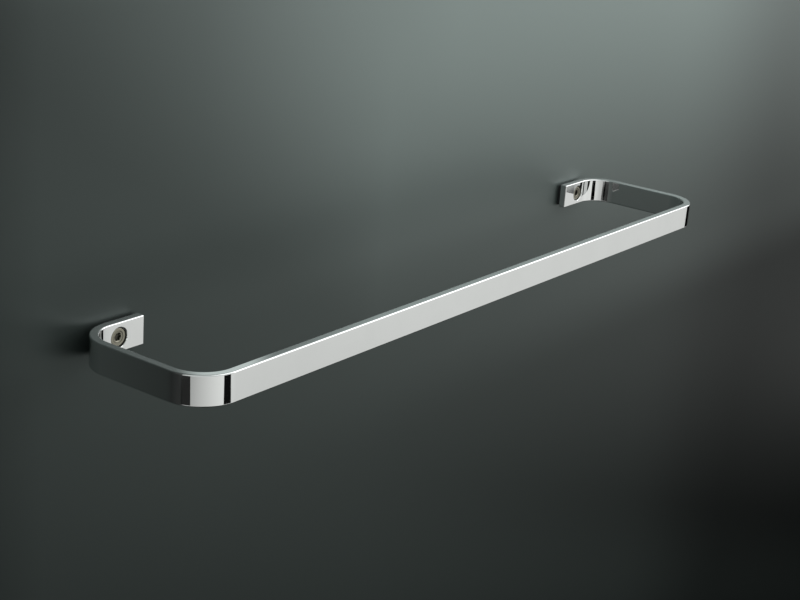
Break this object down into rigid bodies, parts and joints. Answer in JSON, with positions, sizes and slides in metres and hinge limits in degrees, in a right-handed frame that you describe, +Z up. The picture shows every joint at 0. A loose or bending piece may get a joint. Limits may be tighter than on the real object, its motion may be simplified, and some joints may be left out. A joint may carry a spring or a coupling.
{
  "type": "wall-mounted towel rail",
  "caption": "Wall-mounted towel rail: a flat chromed band bent into bar, arms and fixing tabs, held by recessed screws in wall plugs.",
  "frame": {"origin": "on the wall surface, midway between the two fixing screws", "axes": "+X along the wall towards the right end of the rail, +Y into the wall, +Z up"},
  "size_m": [0.618, 0.152, 0.02],
  "materials": {
    "polished_chrome": "polished",
    "screw_steel": "satin",
    "washer_steel": "satin",
    "pad_rubber": "matt",
    "plug_nylon": "matt"
  },
  "bodies": {
    "root": {"towel_rail": "polished_chrome", "left_screw": "screw_steel", "right_screw": "screw_steel", "left_screw_washer": "washer_steel", "right_screw_washer": "washer_steel", "left_wall_pad": "pad_rubber", "right_wall_pad": "pad_rubber", "left_wall_plug": "plug_nylon", "right_wall_plug": "plug_nylon"}
  },
  "joints": []
}
